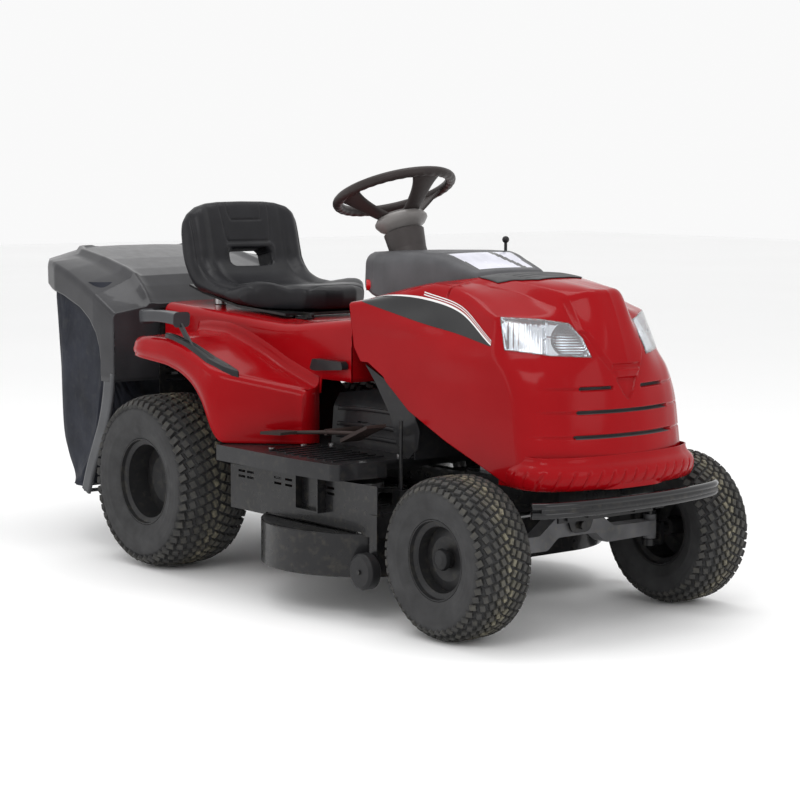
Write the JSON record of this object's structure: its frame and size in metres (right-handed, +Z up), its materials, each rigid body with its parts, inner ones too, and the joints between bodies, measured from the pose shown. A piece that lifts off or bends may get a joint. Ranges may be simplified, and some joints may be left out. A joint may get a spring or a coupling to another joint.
{
  "type": "riding lawn mower",
  "caption": "Riding lawn mower with a mid-mounted cutter deck, tilting seat and hood, steering front axle and a rear grass collector with a woven bag.",
  "frame": {"origin": "on the ground under the middle of the machine, halfway along its length", "axes": "+X forward, +Y to the driver's left, +Z up"},
  "size_m": [2.18, 0.994, 1.0815],
  "materials": {
    "red_body": "deep red high-gloss moulded panels",
    "lamp_lens": "clear moulded lamp cover",
    "reflector": "bright vacuum-metallised bowl",
    "vent_plastic": "mid-grey grained plastic",
    "dash_plastic": "mid-grey grained plastic",
    "dash_window": "pale translucent panel",
    "column_plastic": "dark grey-brown moulded plastic",
    "bare_steel": "bare ground steel",
    "black_paint": "black semi-gloss powder coat",
    "axle_paint": "grey paint over cast metal",
    "rim_paint": "dark grey satin paint",
    "tyre_rubber": "worn turf tyre rubber",
    "belt_rubber": "belt rubber",
    "cap_plastic": "black plastic",
    "black_plastic": "black semi-gloss plastic",
    "pedal_rubber": "dark brown-black rubber pad",
    "red_knob": "red gloss plastic",
    "engine_metal": "die-cast, left bare",
    "pulley_steel": "zinc-plated pulley",
    "muffler_steel": "heat-stained sheet steel",
    "tank_plastic": "natural blow-moulded plastic",
    "seat_vinyl": "black vinyl over foam",
    "collector_plastic": "dark grey moulded plastic",
    "bag_fabric": "dark navy-grey woven cloth"
  },
  "bodies": {
    "chassis": {"frame": "black_paint", "front_bumper": "black_paint", "rear_plate": "black_paint", "rear_body": "red_body", "footboard": "black_plastic", "tunnel_cover": "black_plastic", "leg_shield": "black_plastic", "dash_cowl": "dash_plastic", "dash_window": "dash_window", "steering_column": "column_plastic", "engine_block": "engine_metal", "engine_shroud": "black_plastic", "muffler": "muffler_steel", "fuel_tank": "tank_plastic", "battery": "black_plastic", "transaxle": "engine_metal", "discharge_chute": "black_plastic", "lift_quadrant": "black_plastic", "seat_springs": "bare_steel", "seat_bracket": "black_paint", "body_screws": "bare_steel"},
    "axle": {"front_axle": "axle_paint"},
    "knuckle_r": {"knuckle_right": "black_paint"},
    "knuckle_l": {"knuckle_left": "black_paint"},
    "wheel_fr": {"front_tyre_right": "tyre_rubber", "front_rim_right": "rim_paint", "hub_cap_right": "cap_plastic"},
    "wheel_fl": {"front_tyre_left": "tyre_rubber", "front_rim_left": "rim_paint", "hub_cap_left": "cap_plastic"},
    "wheel_rr": {"rear_tyre_right": "tyre_rubber", "rear_rim_right": "rim_paint"},
    "wheel_rl": {"rear_tyre_left": "tyre_rubber", "rear_rim_left": "rim_paint"},
    "track_rod": {"tie_rod": "bare_steel"},
    "steering": {"steering_wheel": "column_plastic", "steering_shaft": "bare_steel"},
    "bonnet": {"hood": "red_body", "hood_vent": "vent_plastic", "headlamp_right": "lamp_lens", "headlamp_left": "lamp_lens", "lamp_reflectors": "reflector"},
    "seat": {"seat_cushion": "seat_vinyl", "seat_pan": "black_paint"},
    "collector": {"collector_cover": "collector_plastic", "collector_bag": "bag_fabric"},
    "deck": {"deck_shell": "black_paint", "deck_brackets": "black_paint", "deck_belt": "belt_rubber"},
    "blade_r": {"cutter_right": "bare_steel"},
    "blade_l": {"cutter_left": "bare_steel"},
    "crank": {"crank_pulley": "pulley_steel"},
    "scalp_r": {"anti_scalp_wheel_right": "cap_plastic"},
    "scalp_l": {"anti_scalp_wheel_left": "cap_plastic"},
    "lever": {"lift_lever": "black_plastic"},
    "pedal_drive": {"drive_pedal": "pedal_rubber"},
    "pedal_brake": {"brake_pedal": "pedal_rubber"},
    "throttle": {"throttle_lever": "black_plastic"},
    "knob": {"cutter_knob": "red_knob"},
    "lock": {"brake_lock": "black_plastic"}
  },
  "joints": [
    {"name": "axle_rock", "type": "hinge", "parent": "chassis", "child": "axle", "pos_m": [0.845, 0, 0.232], "axis": [1, 0, 0], "range_deg": [-2.5, 2.5]},
    {"name": "steer_right", "type": "hinge", "parent": "axle", "child": "knuckle_r", "pos_m": [0.845, -0.268, 0.19], "axis": [0, 0, 1], "range_deg": [-18, 18]},
    {"name": "steer_left", "type": "hinge", "parent": "axle", "child": "knuckle_l", "pos_m": [0.845, 0.268, 0.19], "axis": [0, 0, 1], "range_deg": [-18, 18]},
    {"name": "track_rod_shift", "type": "slide", "parent": "axle", "child": "track_rod", "axis": [0, 1, 0], "range_m": [-0.03, 0.03]},
    {"name": "steering_turn", "type": "hinge", "parent": "chassis", "child": "steering", "pos_m": [0.167, 0, 1.013], "axis": [-0.3633, 0, 0.9317], "range_deg": [-150, 150]},
    {"name": "wheel_fr_spin", "type": "hinge", "parent": "knuckle_r", "child": "wheel_fr", "pos_m": [0.845, -0.361, 0.19], "axis": [0, 1, 0], "continuous": true},
    {"name": "wheel_fl_spin", "type": "hinge", "parent": "knuckle_l", "child": "wheel_fl", "pos_m": [0.845, 0.361, 0.19], "axis": [0, 1, 0], "continuous": true},
    {"name": "wheel_rr_spin", "type": "hinge", "parent": "chassis", "child": "wheel_rr", "pos_m": [-0.345, -0.358, 0.233], "axis": [0, 1, 0], "continuous": true},
    {"name": "wheel_rl_spin", "type": "hinge", "parent": "chassis", "child": "wheel_rl", "pos_m": [-0.345, 0.358, 0.233], "axis": [0, 1, 0], "continuous": true},
    {"name": "bonnet_open", "type": "hinge", "parent": "chassis", "child": "bonnet", "pos_m": [1.05, 0, 0.362], "axis": [0, 1, 0], "range_deg": [0, 60]},
    {"name": "seat_tilt", "type": "hinge", "parent": "chassis", "child": "seat", "pos_m": [-0.062, 0, 0.683], "axis": [0, 1, 0], "range_deg": [0, 60]},
    {"name": "collector_tip", "type": "hinge", "parent": "chassis", "child": "collector", "pos_m": [-0.603, 0, 0.676], "axis": [0, 1, 0], "range_deg": [0, 60]},
    {"name": "deck_lift", "type": "slide", "parent": "chassis", "child": "deck", "axis": [0, 0, 1], "range_m": [-0.065, 0]},
    {"name": "lever_swing", "type": "hinge", "parent": "chassis", "child": "lever", "pos_m": [-0.02, -0.424, 0.48], "axis": [0, 1, 0], "range_deg": [0, 28]},
    {"name": "blade_r_spin", "type": "hinge", "parent": "deck", "child": "blade_r", "pos_m": [0.345, -0.245, 0.28], "axis": [0, 0, 1], "continuous": true},
    {"name": "blade_l_spin", "type": "hinge", "parent": "deck", "child": "blade_l", "pos_m": [0.345, 0.245, 0.28], "axis": [0, 0, 1], "continuous": true},
    {"name": "crank_spin", "type": "hinge", "parent": "chassis", "child": "crank", "pos_m": [0.69, 0, 0.285], "axis": [0, 0, 1], "continuous": true},
    {"name": "scalp_r_spin", "type": "hinge", "parent": "deck", "child": "scalp_r", "pos_m": [0.591, -0.428, 0.127], "axis": [0, 1, 0], "continuous": true},
    {"name": "scalp_l_spin", "type": "hinge", "parent": "deck", "child": "scalp_l", "pos_m": [0.591, 0.428, 0.127], "axis": [0, 1, 0], "continuous": true},
    {"name": "drive_pedal_rock", "type": "hinge", "parent": "chassis", "child": "pedal_drive", "pos_m": [0.29, -0.2, 0.42], "axis": [0, 1, 0], "range_deg": [-8, 8], "stiffness_Nm_per_rad": 12},
    {"name": "brake_pedal_press", "type": "hinge", "parent": "chassis", "child": "pedal_brake", "pos_m": [0.32, 0.2, 0.42], "axis": [0, 1, 0], "range_deg": [0, 12], "stiffness_Nm_per_rad": 12, "springref_deg": -6.88},
    {"name": "throttle_swing", "type": "hinge", "parent": "chassis", "child": "throttle", "pos_m": [0.47, 0.118, 0.85], "axis": [0, 1, 0], "range_deg": [-20, 20]},
    {"name": "knob_pull", "type": "slide", "parent": "chassis", "child": "knob", "axis": [-0.5882, -0.8087, 0], "range_m": [0, 0.012]},
    {"name": "lock_turn", "type": "hinge", "parent": "chassis", "child": "lock", "pos_m": [0.276, -0.25, 0.58], "axis": [0, 1, 0], "range_deg": [0, 25]}
  ],
  "couplings": [
    {"joint": "steer_left", "follows": "steer_right", "ratio": 1},
    {"joint": "steering_turn", "follows": "steer_right", "ratio": 8.3},
    {"joint": "track_rod_shift", "follows": "steer_right", "m_per_rad": -0.093},
    {"joint": "lever_swing", "follows": "deck_lift", "rad_per_m": -7.5},
    {"joint": "blade_l_spin", "follows": "blade_r_spin", "ratio": 1},
    {"joint": "crank_spin", "follows": "blade_r_spin", "ratio": 1.6176}
  ]
}
